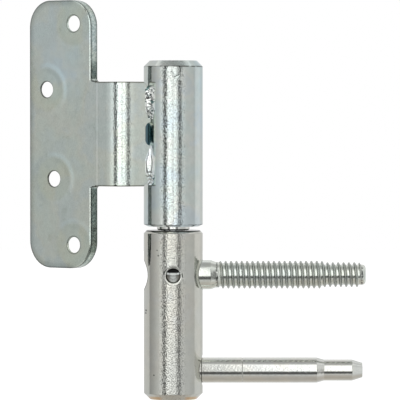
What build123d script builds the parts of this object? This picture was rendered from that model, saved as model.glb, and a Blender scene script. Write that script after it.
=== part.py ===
from build123d import *
import os
from math import cos, radians, sin, tan

# Adjustable drill-in door hinge, zinc-plated steel, in millimetres.
# +Z is up the hinge axis, with z = 0 on top of the lower knuckle, +X runs along the frame pins, away
# from the door leaf, and -Y is the side that the folded strap points to.

# Both knuckles
knuckle_dia = 20.0
knuckle_end_chamfer = 2.0
upper_joint_chamfer_height = 0.65
upper_joint_chamfer_width = 1.4
lower_joint_chamfer = 1.0
knuckle_gap = 1.35
upper_length = 56.1
lower_length = 57.2

# Running and assembly clearances
running_clearance = 0.05
axial_clearance = 0.1
butt_clearance = 0.02

# Hinge pin and its bushes
pin_dia = 8.0
pin_seat_depth = 8.8
pin_seat_relief = 0.4
pin_end_chamfer = 0.6
bush_wall = 1.0
bush_flange_dia = 11.1
bush_flange_chamfer = 0.4
lower_bush_length = 14.0
upper_bush_length = 12.0
upper_bush_below_pin_end = 1.0

# Height adjustment
height_travel = 3.0
height_screw_dia = 10.0
height_screw_length = 13.0
height_screw_recess = 2.5
height_socket_width = 5.0
height_socket_depth = 5.0
height_screw_chamfer = 0.8
dog_dia = 7.0
disc_thickness = 2.0
disc_edge_chamfer = 0.3
tap_bore_margin = 0.4

# Threaded frame pin
screw_level = -15.1
screw_shank_dia = 10.0
screw_neck_dia = 8.7
screw_crest_dia = 9.5
screw_tip_crest_dia = 8.6
screw_tip_dia = 6.4
screw_left_recess = 2.6
screw_shank_end = 12.8
screw_neck_start = 14.3
screw_thread_start = 14.9
screw_thread_lead_in = 0.9
screw_tip_zone = 49.7
screw_tip_lead = 1.4
screw_tip_chamfer_start = 62.6
screw_end = 65.2
screw_socket_width = 5.0
screw_socket_depth = 4.6
screw_end_chamfer = 0.5
lock_groove_depth = 1.0
lock_groove_width = 3.7

# Lock screw in the front of the lower knuckle
lock_dia = 5.0
lock_length = 3.2
lock_dog_length = 1.2
lock_dog_dia = 3.3
lock_socket_width = 2.5
lock_socket_depth = 1.5
lock_end_chamfer = 0.3
lock_mouth_chamfer = 0.4

# Plain guide pin
guide_level = -47.5
guide_seat_start = -6.0
guide_seat_dia = 9.0
guide_seat_end = 9.7
guide_dia = 8.6
guide_line_place = 23.4
guide_line_width = 0.3
guide_line_depth = 0.12
guide_step_start = 48.6
guide_step_end = 51.1
guide_nose_dia = 7.2
guide_tip_chamfer_start = 60.6
guide_tip_dia = 5.0
guide_end = 64.1
guide_mouth_dia = 10.8
guide_mouth_angle = 90.0
guide_seat_relief = 0.5

# Door leaf: plate and strap, one folded sheet
sheet = 3.5
plate_height = 90.9
plate_width = 27.1
plate_corner_radius = 9.1
plate_angle = 38.5
plate_below_strap_middle = 0.15
strap_height = 35.2
strap_below_barrel_top = 7.2
strap_end_chamfer = 2.8
strap_root_radius = 1.2
strap_angle = 30.0
strap_face_offset = 2.3
bend_outer_radius = 8.7
bend_x = -17.05
plate_to_bend = 6.9
notch_height = 7.8
notch_depth = 2.1

# Screw holes in the plate, countersunk on the back face
screw_hole_dia = 5.4
screw_hole_land = 0.6
screw_hole_angle = 90.0
hole_edge_break = 0.2
hole_edge_angle = 90.0
outer_hole_spacing = 75.0
outer_hole_from_edge = 19.5
inner_hole_spacing = 30.4
upper_inner_from_edge = 7.5
lower_inner_from_edge = 10.7

# Weld beads between strap and upper knuckle
weld_radius = 2.0
weld_proud = 0.7
weld_end_chamfer = 1.3
upper_weld_margin = 1.2
upper_weld_length = 11.4
lower_weld_margin = 0.4
lower_weld_length = 13.4

# Worked out from the values above
knuckle_radius = knuckle_dia / 2
upper_bottom = knuckle_gap
upper_top = upper_bottom + upper_length
lower_bottom = -lower_length
bush_dia = pin_dia + 2 * bush_wall
pin_radius = pin_dia / 2
bush_bore_radius = pin_radius + running_clearance
height_screw_top = upper_top - height_screw_recess
height_screw_bottom = height_screw_top - height_screw_length
disc_top = height_screw_bottom - butt_clearance
disc_bottom = disc_top - disc_thickness
pin_top = disc_bottom - butt_clearance
dog_length = height_travel + 2 * tap_bore_margin
tap_bore_bottom = height_screw_bottom + tap_bore_margin
screw_left_end = -knuckle_radius + screw_left_recess
screw_bore_radius = screw_shank_dia / 2 + running_clearance
lock_back = -(screw_shank_dia / 2 - lock_groove_depth) - running_clearance
strap_top = upper_top - strap_below_barrel_top
strap_bottom = strap_top - strap_height
strap_middle = strap_bottom + strap_height / 2
plate_middle = strap_middle - plate_below_strap_middle
guide_mouth_depth = (guide_mouth_dia - guide_seat_dia) / 2 / tan(radians(guide_mouth_angle / 2))


def direction(degrees_from_x):
    """Unit vector in the XY plane, turned from +X towards +Y."""
    return Vector(cos(radians(degrees_from_x)), sin(radians(degrees_from_x)), 0)


# The sheet's outer face runs along plate_dir to the bend, and along strap_dir from there.
plate_dir = direction(-plate_angle)
strap_dir = direction(strap_angle)
plate_normal = direction(-plate_angle - 90)
strap_normal = direction(strap_angle - 90)
bend_y = (strap_face_offset - bend_outer_radius - bend_x * strap_normal.X) / strap_normal.Y
bend_centre = Vector(bend_x, bend_y, 0)
bend_start = bend_centre + plate_normal * bend_outer_radius
bend_end = bend_centre + strap_normal * bend_outer_radius
plate_right = bend_start - plate_dir * plate_to_bend
plate_left = plate_right - plate_dir * plate_width
# The strap's square end butts against the barrel, which it touches abreast of the hinge axis.
strap_end = strap_normal * strap_face_offset - strap_dir * knuckle_radius


def make_door_leaf():
    """Plate and folded strap, with countersunk screw holes and a notch in the strap's end."""
    inner_radius = bend_outer_radius - sheet
    bend_middle = bend_centre + direction((strap_angle - plate_angle) / 2 - 90) * bend_outer_radius
    bend_middle_inner = bend_centre + (bend_middle - bend_centre) * (inner_radius / bend_outer_radius)
    plate_plane = Plane(origin=plate_left, x_dir=plate_dir, z_dir=plate_normal)
    strap_plane = Plane(origin=strap_end, x_dir=strap_dir, z_dir=strap_normal)
    with BuildPart() as leaf:
        with BuildSketch(Plane.XY.offset(strap_bottom)):
            with BuildLine():
                Line(plate_right - plate_dir * plate_corner_radius, bend_start)
                ThreePointArc(bend_start, bend_middle, bend_end)
                Line(bend_end, strap_end)
                Line(strap_end, strap_end - strap_normal * sheet)
                Line(strap_end - strap_normal * sheet, bend_end - strap_normal * sheet)
                ThreePointArc(
                    bend_end - strap_normal * sheet, bend_middle_inner, bend_start - plate_normal * sheet
                )
                back_start = plate_right - plate_dir * plate_corner_radius - plate_normal * sheet
                Line(bend_start - plate_normal * sheet, back_start)
                Line(back_start, plate_right - plate_dir * plate_corner_radius)
            make_face()
        extrude(amount=strap_height)
        end_corners = leaf.edges().filter_by(Axis(strap_end, strap_normal))
        chamfer(end_corners, strap_end_chamfer)
        with BuildSketch(plate_plane):
            with Locations((plate_width / 2, plate_middle)):
                RectangleRounded(plate_width, plate_height, plate_corner_radius)
        extrude(amount=-sheet)
        across_sheet = leaf.edges().filter_by(Axis(plate_right, plate_normal))
        root_corners = across_sheet.filter_by_position(Axis.Z, strap_bottom, strap_top)
        fillet(root_corners, strap_root_radius)
        with BuildSketch(strap_plane):
            with Locations((0, strap_middle)):
                SlotOverall(notch_height, 2 * notch_depth, rotation=90)
        extrude(amount=-sheet, mode=Mode.SUBTRACT)
        hole_spots = [
            (outer_hole_from_edge, plate_middle + outer_hole_spacing / 2),
            (upper_inner_from_edge, plate_middle + inner_hole_spacing / 2),
            (lower_inner_from_edge, plate_middle - inner_hole_spacing / 2),
            (outer_hole_from_edge, plate_middle - outer_hole_spacing / 2),
        ]
        back_plane = Plane(origin=plate_left - plate_normal * sheet, x_dir=-plate_dir, z_dir=-plate_normal)
        head_dia = screw_hole_dia + 2 * (sheet - screw_hole_land) * tan(radians(screw_hole_angle / 2))
        with Locations(*[back_plane * Location((-x, z, 0)) for x, z in hole_spots]):
            CounterSinkHole(screw_hole_dia / 2, head_dia / 2, sheet, screw_hole_angle)
        with Locations(*[plate_plane * Location((x, z, 0)) for x, z in hole_spots]):
            CounterSinkHole(screw_hole_dia / 2, screw_hole_dia / 2 + hole_edge_break, sheet, hole_edge_angle)
    return leaf


def make_upper_knuckle():
    """Barrel bored for the bushes from below and tapped for the height screw from above."""
    with BuildPart() as barrel:
        with BuildSketch(Plane.XY.offset(upper_bottom)):
            Circle(knuckle_radius)
        extrude(amount=upper_length)
        joint_face = barrel.faces().sort_by(Axis.Z)[0]
        chamfer(
            joint_face.edges(), upper_joint_chamfer_width, upper_joint_chamfer_height, reference=joint_face
        )
        chamfer(barrel.faces().sort_by(Axis.Z)[-1].edges(), knuckle_end_chamfer)
        with BuildSketch(Plane.XY.offset(upper_bottom)):
            Circle(bush_dia / 2)
        extrude(amount=upper_length, mode=Mode.SUBTRACT)
        with BuildSketch(Plane.XY.offset(tap_bore_bottom)):
            Circle(height_screw_dia / 2 + running_clearance)
        extrude(amount=upper_top - tap_bore_bottom, mode=Mode.SUBTRACT)
        mouth = barrel.faces().sort_by(Axis.Z)[-1].inner_wires().edges()
        chamfer(mouth, height_screw_chamfer / 2)
    return barrel


def make_bush(bottom, length, flange_dia=0.0, flange_thickness=0.0):
    """Plain bush pressed into the upper knuckle, with a flange below it where one is given."""
    with BuildPart() as bush:
        with BuildSketch(Plane.XY.offset(bottom)):
            Circle(bush_dia / 2)
        extrude(amount=length)
        if flange_thickness:
            with BuildSketch(Plane.XY.offset(bottom)):
                Circle(flange_dia / 2)
            extrude(amount=-flange_thickness)
            chamfer(bush.faces().sort_by(Axis.Z)[0].edges(), bush_flange_chamfer)
        with BuildSketch(Plane.XY.offset(bottom - flange_thickness)):
            Circle(bush_bore_radius)
        extrude(amount=length + flange_thickness, mode=Mode.SUBTRACT)
    return bush


def make_hinge_pin():
    """Pin pressed into the lower knuckle, which the upper knuckle turns on."""
    with BuildPart() as pin:
        with BuildSketch(Plane.XY.offset(-pin_seat_depth)):
            Circle(pin_radius)
        extrude(amount=pin_seat_depth + pin_top)
        chamfer(pin.edges().filter_by(GeomType.CIRCLE), pin_end_chamfer)
    return pin


def make_thrust_disc():
    """Disc between the hinge pin's end and the height screw."""
    with BuildPart() as disc:
        with BuildSketch(Plane.XY.offset(disc_bottom)):
            Circle(pin_radius)
        extrude(amount=disc_thickness)
        chamfer(disc.edges().filter_by(GeomType.CIRCLE), disc_edge_chamfer)
    return disc


def make_height_screw():
    """Set screw with a hexagon socket and a dog point that reaches down to the thrust disc."""
    with BuildPart() as screw:
        with BuildSketch(Plane.XY.offset(height_screw_bottom)):
            Circle(dog_dia / 2)
        extrude(amount=dog_length)
        with BuildSketch(Plane.XY.offset(height_screw_bottom + dog_length)):
            Circle(height_screw_dia / 2)
        extrude(amount=height_screw_top - height_screw_bottom - dog_length)
        thread_ends = screw.edges().filter_by(GeomType.CIRCLE).sort_by(SortBy.RADIUS)[-2:]
        chamfer(thread_ends, height_screw_chamfer)
        with BuildSketch(Plane.XY.offset(height_screw_top)):
            RegularPolygon(height_socket_width / 2, 6, major_radius=False)
        extrude(amount=-height_socket_depth, mode=Mode.SUBTRACT)
    return screw


def make_lower_knuckle():
    """Barrel with seats for the hinge pin and the guide pin, a cross bore and a tapped front hole."""
    screw_axis = Plane(origin=(0, 0, screw_level), x_dir=(0, 1, 0), z_dir=(1, 0, 0))
    front_axis = Plane(origin=(0, 0, screw_level), x_dir=(1, 0, 0), z_dir=(0, -1, 0))
    guide_axis = Plane(origin=(0, 0, guide_level), x_dir=(0, 1, 0), z_dir=(1, 0, 0))
    with BuildPart() as barrel:
        with BuildSketch(Plane.XY.offset(lower_bottom)):
            Circle(knuckle_radius)
        extrude(amount=lower_length)
        chamfer(barrel.faces().sort_by(Axis.Z)[-1].edges(), lower_joint_chamfer)
        chamfer(barrel.faces().sort_by(Axis.Z)[0].edges(), knuckle_end_chamfer)
        with BuildSketch(Plane.XY):
            Circle(pin_radius)
        extrude(amount=-pin_seat_depth - pin_seat_relief, mode=Mode.SUBTRACT)
        with BuildSketch(screw_axis):
            Circle(screw_bore_radius)
        extrude(amount=knuckle_radius, both=True, mode=Mode.SUBTRACT)
        with BuildSketch(front_axis):
            Circle(lock_dia / 2 + running_clearance)
        extrude(amount=knuckle_radius, mode=Mode.SUBTRACT)
        with BuildSketch(front_axis.offset(knuckle_radius)):
            Circle(lock_dia / 2 + running_clearance + 2 * lock_mouth_chamfer)
        extrude(amount=-2 * lock_mouth_chamfer, taper=45, mode=Mode.SUBTRACT)
        with BuildSketch(guide_axis.offset(guide_seat_start - guide_seat_relief)):
            Circle(guide_seat_dia / 2)
        extrude(amount=knuckle_radius - guide_seat_start + guide_seat_relief, mode=Mode.SUBTRACT)
        with BuildSketch(guide_axis.offset(knuckle_radius)):
            Circle(guide_mouth_dia / 2)
        extrude(amount=-guide_mouth_depth, taper=guide_mouth_angle / 2, mode=Mode.SUBTRACT)
    return barrel


def make_threaded_pin():
    """Frame pin whose run is as wide as its thread, with a socket and a groove for the lock screw."""
    axis_plane = Plane(origin=(0, 0, screw_level), x_dir=(1, 0, 0), z_dir=(0, -1, 0))
    end_plane = Plane(origin=(screw_left_end, 0, screw_level), x_dir=(0, 1, 0), z_dir=(-1, 0, 0))
    outline = [
        (screw_left_end, 0),
        (screw_left_end, screw_shank_dia / 2 - screw_end_chamfer),
        (screw_left_end + screw_end_chamfer, screw_shank_dia / 2),
        (-lock_groove_width / 2, screw_shank_dia / 2),
        (-lock_groove_width / 2, screw_shank_dia / 2 - lock_groove_depth),
        (lock_groove_width / 2, screw_shank_dia / 2 - lock_groove_depth),
        (lock_groove_width / 2, screw_shank_dia / 2),
        (screw_shank_end, screw_shank_dia / 2),
        (screw_neck_start, screw_neck_dia / 2),
        (screw_thread_start, screw_neck_dia / 2),
        (screw_thread_start + screw_thread_lead_in, screw_crest_dia / 2),
        (screw_tip_zone, screw_crest_dia / 2),
        (screw_tip_zone + screw_tip_lead, screw_tip_crest_dia / 2),
        (screw_tip_chamfer_start, screw_tip_crest_dia / 2),
        (screw_end, screw_tip_dia / 2),
        (screw_end, 0),
    ]
    with BuildPart() as pin:
        with BuildSketch(axis_plane):
            with BuildLine():
                Polyline(*outline, close=True)
            make_face()
        revolve(axis=Axis((0, 0, screw_level), (1, 0, 0)))
        with BuildSketch(end_plane):
            RegularPolygon(screw_socket_width / 2, 6, major_radius=False)
        extrude(amount=-screw_socket_depth, mode=Mode.SUBTRACT)
    return pin


def make_lock_screw():
    """Set screw whose dog point runs in the threaded pin's groove."""
    back_plane = Plane(origin=(0, lock_back, screw_level), x_dir=(1, 0, 0), z_dir=(0, -1, 0))
    with BuildPart() as screw:
        with BuildSketch(back_plane):
            Circle(lock_dog_dia / 2)
        extrude(amount=lock_dog_length)
        with BuildSketch(back_plane.offset(lock_dog_length)):
            Circle(lock_dia / 2)
        extrude(amount=lock_length - lock_dog_length)
        thread_ends = screw.edges().filter_by(GeomType.CIRCLE).sort_by(SortBy.RADIUS)[-2:]
        chamfer(thread_ends, lock_end_chamfer)
        with BuildSketch(back_plane.offset(lock_length)):
            RegularPolygon(lock_socket_width / 2, 6, major_radius=False, rotation=30)
        extrude(amount=-lock_socket_depth, mode=Mode.SUBTRACT)
    return screw


def make_guide_pin():
    """Plain stepped frame pin with a collar in the mouth of its seat."""
    axis_plane = Plane(origin=(0, 0, guide_level), x_dir=(1, 0, 0), z_dir=(0, -1, 0))
    outline = [
        (guide_seat_start, 0),
        (guide_seat_start, guide_seat_dia / 2),
        (guide_seat_end, guide_seat_dia / 2),
        (guide_seat_end, guide_dia / 2),
        (guide_line_place - guide_line_width / 2, guide_dia / 2),
        (guide_line_place, guide_dia / 2 - guide_line_depth),
        (guide_line_place + guide_line_width / 2, guide_dia / 2),
        (guide_step_start, guide_dia / 2),
        (guide_step_end, guide_nose_dia / 2),
        (guide_tip_chamfer_start, guide_nose_dia / 2),
        (guide_end, guide_tip_dia / 2),
        (guide_end, 0),
    ]
    with BuildPart() as pin:
        with BuildSketch(axis_plane):
            with BuildLine():
                Polyline(*outline, close=True)
            make_face()
        revolve(axis=Axis((0, 0, guide_level), (1, 0, 0)))
    return pin


def make_weld(bottom, length, leaf, barrel):
    """Weld bead in the corner between the strap's outer face and the barrel."""
    bead_centre = strap_end + strap_normal * weld_proud
    with BuildPart() as bead:
        with BuildSketch(Plane.XY.offset(bottom).shift_origin(bead_centre + Vector(0, 0, bottom))):
            Circle(weld_radius)
        extrude(amount=length)
        chamfer(bead.edges().filter_by(GeomType.CIRCLE), weld_end_chamfer)
        add(leaf.part, mode=Mode.SUBTRACT)
        add(barrel.part, mode=Mode.SUBTRACT)
    return bead


door_leaf = make_door_leaf()
upper_knuckle = make_upper_knuckle()
flanged_bush = make_bush(
    upper_bottom, lower_bush_length, bush_flange_dia, knuckle_gap - axial_clearance
)
upper_bush = make_bush(
    pin_top - upper_bush_below_pin_end - upper_bush_length, upper_bush_length
)
hinge_pin = make_hinge_pin()
thrust_disc = make_thrust_disc()
height_screw = make_height_screw()
lower_knuckle = make_lower_knuckle()
threaded_pin = make_threaded_pin()
lock_screw = make_lock_screw()
guide_pin = make_guide_pin()
upper_weld = make_weld(
    strap_top - upper_weld_margin - upper_weld_length, upper_weld_length, door_leaf, upper_knuckle
)
lower_weld = make_weld(strap_bottom + lower_weld_margin, lower_weld_length, door_leaf, upper_knuckle)

os.makedirs("parts", exist_ok=True)

door_leaf.part.label = "door_leaf"
export_step(door_leaf.part, "parts/door_leaf.step")
upper_knuckle.part.label = "upper_knuckle"
export_step(upper_knuckle.part, "parts/upper_knuckle.step")
upper_weld.part.label = "upper_weld"
export_step(upper_weld.part, "parts/upper_weld.step")
lower_weld.part.label = "lower_weld"
export_step(lower_weld.part, "parts/lower_weld.step")
flanged_bush.part.label = "flanged_bush"
export_step(flanged_bush.part, "parts/flanged_bush.step")
upper_bush.part.label = "upper_bush"
export_step(upper_bush.part, "parts/upper_bush.step")
hinge_pin.part.label = "hinge_pin"
export_step(hinge_pin.part, "parts/hinge_pin.step")
thrust_disc.part.label = "thrust_disc"
export_step(thrust_disc.part, "parts/thrust_disc.step")
height_screw.part.label = "height_screw"
export_step(height_screw.part, "parts/height_screw.step")
lower_knuckle.part.label = "lower_knuckle"
export_step(lower_knuckle.part, "parts/lower_knuckle.step")
threaded_pin.part.label = "threaded_pin"
export_step(threaded_pin.part, "parts/threaded_pin.step")
lock_screw.part.label = "lock_screw"
export_step(lock_screw.part, "parts/lock_screw.step")
guide_pin.part.label = "guide_pin"
export_step(guide_pin.part, "parts/guide_pin.step")
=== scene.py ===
from math import atan2, cos, pi, radians, sin

import bmesh
import bpy
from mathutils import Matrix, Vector, noise


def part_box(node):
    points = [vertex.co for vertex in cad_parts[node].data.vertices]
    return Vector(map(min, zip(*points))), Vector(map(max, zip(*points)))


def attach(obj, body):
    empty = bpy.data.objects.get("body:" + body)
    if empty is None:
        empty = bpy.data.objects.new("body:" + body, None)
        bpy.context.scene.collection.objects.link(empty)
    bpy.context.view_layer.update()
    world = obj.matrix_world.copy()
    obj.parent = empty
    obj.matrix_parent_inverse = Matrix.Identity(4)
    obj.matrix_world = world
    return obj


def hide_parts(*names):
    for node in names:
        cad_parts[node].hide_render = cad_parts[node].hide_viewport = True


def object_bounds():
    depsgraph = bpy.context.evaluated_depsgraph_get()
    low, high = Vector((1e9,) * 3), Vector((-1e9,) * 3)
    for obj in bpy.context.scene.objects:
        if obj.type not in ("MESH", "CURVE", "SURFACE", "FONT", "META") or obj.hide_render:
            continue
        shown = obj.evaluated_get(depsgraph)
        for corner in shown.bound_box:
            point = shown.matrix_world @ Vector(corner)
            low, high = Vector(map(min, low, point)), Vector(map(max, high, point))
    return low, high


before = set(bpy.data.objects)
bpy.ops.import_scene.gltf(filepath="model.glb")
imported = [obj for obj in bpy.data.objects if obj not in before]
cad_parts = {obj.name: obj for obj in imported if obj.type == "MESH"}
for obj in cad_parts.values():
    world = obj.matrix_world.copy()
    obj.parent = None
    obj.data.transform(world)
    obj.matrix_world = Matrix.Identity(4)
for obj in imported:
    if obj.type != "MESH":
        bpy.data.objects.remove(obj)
cad_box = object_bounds()

MM = 0.001
WHITE = (1, 1, 1, 1)
BLACK = (0, 0, 0, 1)
RIGHT = (1.0, 0.0, 0.0)
BACK = (0.0, 1.0, 0.0)
UP = (0.0, 0.0, 1.0)

# Camera: a long lens, almost level, a little above the hinge's middle
PHOTO_WIDTH_PX = 400
PX_PER_MM = 2.95
AXIS_PX = 173.3
GROUND_PX = 230.2
CAMERA_DISTANCE = 1.2
EYE_HEIGHT = 0.041
SENSOR_MM = 36.0

# Floor and lamps, in metres and watts
FLOOR_BELOW = 0.19
FLOOR_SIZE = 12.0
FLOOR_COLOUR = (0.85, 0.85, 0.85, 1)
FLOOR_GLOW = 0.45
LAMP_SIZE = 0.8
KEY_LAMP = {"place": (-0.5, -0.9, 1.1), "power": 14.0}
FILL_LAMP = {"place": (0.8, -0.6, 0.7), "power": 7.0}

# Studio that the metal reflects: brightness by the angle round the hinge from the camera, with the
# window in front, its dark frame, the pale side walls and the brighter wall behind
STUDIO_AROUND = [
    (-180, 0.66), (-109, 0.66), (-101, 0.36), (-80, 0.46), (-60, 0.62), (-44, 0.98), (-40, 0.66),
    (-36.5, 0.12), (-25.5, 0.08), (-22.5, 1.6), (-12, 1.95), (-4, 1.9), (-2.5, 0.3), (-0.5, 0.3),
    (1.5, 1.5), (7, 1.6), (13, 1.0), (20, 0.5), (24.5, 0.12), (30, 0.12), (34.5, 0.74), (41, 0.74),
    (54, 0.60), (92, 0.55), (98, 0.74), (122, 0.78), (145, 0.64), (160, 0.72), (180, 0.78),
]
# The same in front of the hinge, by the angle above level
STUDIO_UPWARDS = [
    (-90, 0.45), (-52, 0.52), (-43, 0.64), (-37, 0.36), (-29, 0.09), (-18, 0.09), (-11, 0.34),
    (-4, 1.45), (48, 1.45), (58, 0.72), (68, 0.44), (90, 0.36),
]
# And beside and behind it
STUDIO_UPWARDS_ASIDE = [(-90, 0.46), (-50, 0.60), (-35, 1.0), (50, 1.0), (68, 0.44), (90, 0.36)]
# Degrees between which the levels beside the hinge take over, those round it end overhead and below,
# and the warm tint of the light from below fades out
ASIDE_ANGLES = (32, 42)
STEEP_ANGLES = (48, 64)
BELOW_ANGLES = (-70, -35)
BELOW_TINT = (1.0, 0.93, 0.86, 1)
# The ramps hold shares of this strength; matt surfaces are lit by the plain level
STUDIO_STRENGTH = 2.0
PLAIN_LEVEL = 0.75


def add_node(tree, kind, inputs=(), **settings):
    """New node, with its settings, and each input set to a value or linked to a socket."""
    made = tree.nodes.new(kind)
    for name, value in settings.items():
        setattr(made, name, value)
    for key, value in dict(inputs).items():
        if isinstance(value, bpy.types.NodeSocket):
            tree.links.new(value, made.inputs[key])
        else:
            made.inputs[key].default_value = value
    return made


def calc(tree, operation, *values):
    """Output of a Math node."""
    return add_node(tree, "ShaderNodeMath", dict(enumerate(values)), operation=operation).outputs[0]


def times(tree, first, second):
    """Product of two values."""
    return calc(tree, "MULTIPLY", first, second)


def plus(tree, first, second):
    """Sum of two values."""
    return calc(tree, "ADD", first, second)


def minus(tree, first, second):
    """First value less the second."""
    return calc(tree, "SUBTRACT", first, second)


def vector_calc(tree, operation, *values):
    """Outputs of a Vector Math node."""
    return add_node(tree, "ShaderNodeVectorMath", dict(enumerate(values)), operation=operation).outputs


def remap(tree, value, low, high, to_low, to_high, smooth=True):
    """Value moved from one range to another, held at the ends."""
    inputs = {"Value": value, "From Min": low, "From Max": high, "To Min": to_low, "To Max": to_high}
    blend = "SMOOTHSTEP" if smooth else "LINEAR"
    return add_node(tree, "ShaderNodeMapRange", inputs, interpolation_type=blend).outputs["Result"]


def near(tree, value, middle, inner, outer):
    """1 within a distance of a middle value, and 0 beyond a larger one."""
    off = calc(tree, "ABSOLUTE", minus(tree, value, middle))
    return remap(tree, off, inner, outer, 1.0, 0.0)


def rgba(level):
    """Opaque colour from a grey level, or from red, green and blue."""
    return (*level, 1) if isinstance(level, tuple) else (level, level, level, 1)


def ramp(tree, fac, stops):
    """Colour ramp with stops of (place, level) or (place, (red, green, blue))."""
    made = add_node(tree, "ShaderNodeValToRGB", {"Fac": fac})
    elements = made.color_ramp.elements
    while len(elements) < len(stops):
        elements.new(1.0)
    for element, (place, level) in zip(elements, stops):
        element.position = place
        element.color = rgba(level)
    return made.outputs["Color"]


def mix_colour(tree, blend, fac, a, b):
    """Output of a Mix node for colours."""
    made = add_node(tree, "ShaderNodeMix", data_type="RGBA", blend_type=blend)
    for place, value in ((0, fac), (6, a), (7, b)):
        if isinstance(value, bpy.types.NodeSocket):
            tree.links.new(value, made.inputs[place])
        else:
            made.inputs[place].default_value = value
    return made.outputs[2]


def shaded(tree, base, mask, level):
    """Base with a grey level or a colour multiplied in where a mask is 1."""
    return mix_colour(tree, "MULTIPLY", mask, base, rgba(level))


def noise_level(tree, place, size, detail, stretch=(1, 1, 1)):
    """Noise with grains of a size in millimetres, which the stretch scales along each axis."""
    scaled = add_node(tree, "ShaderNodeMapping", {"Vector": place, "Scale": stretch}).outputs[0]
    inputs = {"Vector": scaled, "Scale": 1 / (size * MM), "Detail": detail}
    return add_node(tree, "ShaderNodeTexNoise", inputs).outputs["Fac"]


def in_mm(tree, place):
    """The three coordinates, in millimetres."""
    split = add_node(tree, "ShaderNodeSeparateXYZ", {0: place}).outputs
    return [calc(tree, "DIVIDE", socket, MM) for socket in split]


def offset_from(tree, place, point):
    """Place from a point that is given in millimetres."""
    return vector_calc(tree, "SUBTRACT", place, tuple(value * MM for value in point))[0]


def along(tree, place, point, direction):
    """Distance from a point along a direction, in millimetres."""
    reach = vector_calc(tree, "DOT_PRODUCT", offset_from(tree, place, point), direction)["Value"]
    return calc(tree, "DIVIDE", reach, MM)


def from_line(tree, place, point, direction):
    """Distance from a line through a point, in millimetres."""
    across = vector_calc(tree, "CROSS_PRODUCT", offset_from(tree, place, point), direction)[0]
    return calc(tree, "DIVIDE", vector_calc(tree, "LENGTH", across)["Value"], MM)


def from_segment(tree, x, z, start, end):
    """Distance in the XZ plane from a short line, in millimetres."""
    run_x, run_z = end[0] - start[0], end[1] - start[1]
    dx = minus(tree, x, start[0])
    dz = minus(tree, z, start[1])
    reach = plus(tree, times(tree, dx, run_x), times(tree, dz, run_z))
    share = remap(tree, reach, 0.0, run_x ** 2 + run_z ** 2, 0.0, 1.0, smooth=False)
    off_x = minus(tree, dx, times(tree, share, run_x))
    off_z = minus(tree, dz, times(tree, share, run_z))
    return calc(tree, "SQRT", plus(tree, times(tree, off_x, off_x), times(tree, off_z, off_z)))


def make_camera():
    """Long lens, aimed so that the hinge falls where the photograph has it."""
    half = PHOTO_WIDTH_PX / 2
    aim = Vector(((half - AXIS_PX) / PX_PER_MM * MM, 0, (GROUND_PX - half) / PX_PER_MM * MM))
    eye = Vector((aim.x, -CAMERA_DISTANCE, EYE_HEIGHT))
    data = bpy.data.cameras.new("camera")
    data.sensor_width = SENSOR_MM
    data.sensor_fit = "HORIZONTAL"
    data.lens = SENSOR_MM * (aim - eye).length / (PHOTO_WIDTH_PX / PX_PER_MM * MM)
    camera = bpy.data.objects.new("camera", data)
    camera.location = eye
    camera.rotation_euler = (aim - eye).to_track_quat("-Z", "Y").to_euler()
    bpy.context.collection.objects.link(camera)
    bpy.context.scene.camera = camera


def studio_level(tree, angle, half_turn, levels):
    """Brightness at an angle, as a share of the studio's strength, from levels by degrees."""
    place = remap(tree, angle, -radians(half_turn), radians(half_turn), 0.0, 1.0, smooth=False)
    stops = [((degrees + half_turn) / (2 * half_turn), level / STUDIO_STRENGTH) for degrees, level in levels]
    return ramp(tree, place, stops)


def between_angles(tree, angle, start, end):
    """0 up to one angle, and 1 from another, in degrees."""
    return remap(tree, angle, radians(start), radians(end), 0.0, 1.0)


def studio_colour(tree):
    """What the metal mirrors in each direction."""
    direction = add_node(tree, "ShaderNodeTexCoord").outputs["Generated"]
    split = add_node(tree, "ShaderNodeSeparateXYZ", {0: direction}).outputs
    around = calc(tree, "ARCTAN2", split[0], times(tree, split[1], -1.0))
    upwards = calc(tree, "ARCSINE", split[2])
    level_around = studio_level(tree, around, 180, STUDIO_AROUND)
    level_upwards = studio_level(tree, upwards, 90, STUDIO_UPWARDS)
    level_aside = studio_level(tree, upwards, 90, STUDIO_UPWARDS_ASIDE)
    steep = between_angles(tree, calc(tree, "ABSOLUTE", upwards), *STEEP_ANGLES)
    aside = between_angles(tree, calc(tree, "ABSOLUTE", around), *ASIDE_ANGLES)
    level_around = mix_colour(tree, "MIX", steep, level_around, WHITE)
    level_upwards = mix_colour(tree, "MIX", aside, level_upwards, level_aside)
    studio = mix_colour(tree, "DARKEN", 1.0, level_around, level_upwards)
    below = minus(tree, 1.0, between_angles(tree, upwards, *BELOW_ANGLES))
    return mix_colour(tree, "MULTIPLY", below, studio, BELOW_TINT)


def background(tree, colour, strength):
    """Output of a Background node."""
    return add_node(tree, "ShaderNodeBackground", {"Color": colour, "Strength": strength}).outputs[0]


def mix_shader(tree, fac, first, second):
    """Output of a Mix Shader node."""
    return add_node(tree, "ShaderNodeMixShader", {0: fac, 1: first, 2: second}).outputs[0]


def make_world():
    """White behind the hinge, a plain level for matt surfaces, and the studio in what the metal mirrors."""
    world = bpy.data.worlds.new("studio")
    world.use_nodes = True
    bpy.context.scene.world = world
    tree = world.node_tree
    tree.nodes.clear()
    mirrored = background(tree, studio_colour(tree), STUDIO_STRENGTH)
    plain = background(tree, WHITE, PLAIN_LEVEL)
    ray = add_node(tree, "ShaderNodeLightPath").outputs
    lit = mix_shader(tree, ray["Is Glossy Ray"], plain, mirrored)
    seen = mix_shader(tree, ray["Is Camera Ray"], lit, background(tree, WHITE, 1.0))
    add_node(tree, "ShaderNodeOutputWorld", {"Surface": seen})


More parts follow.
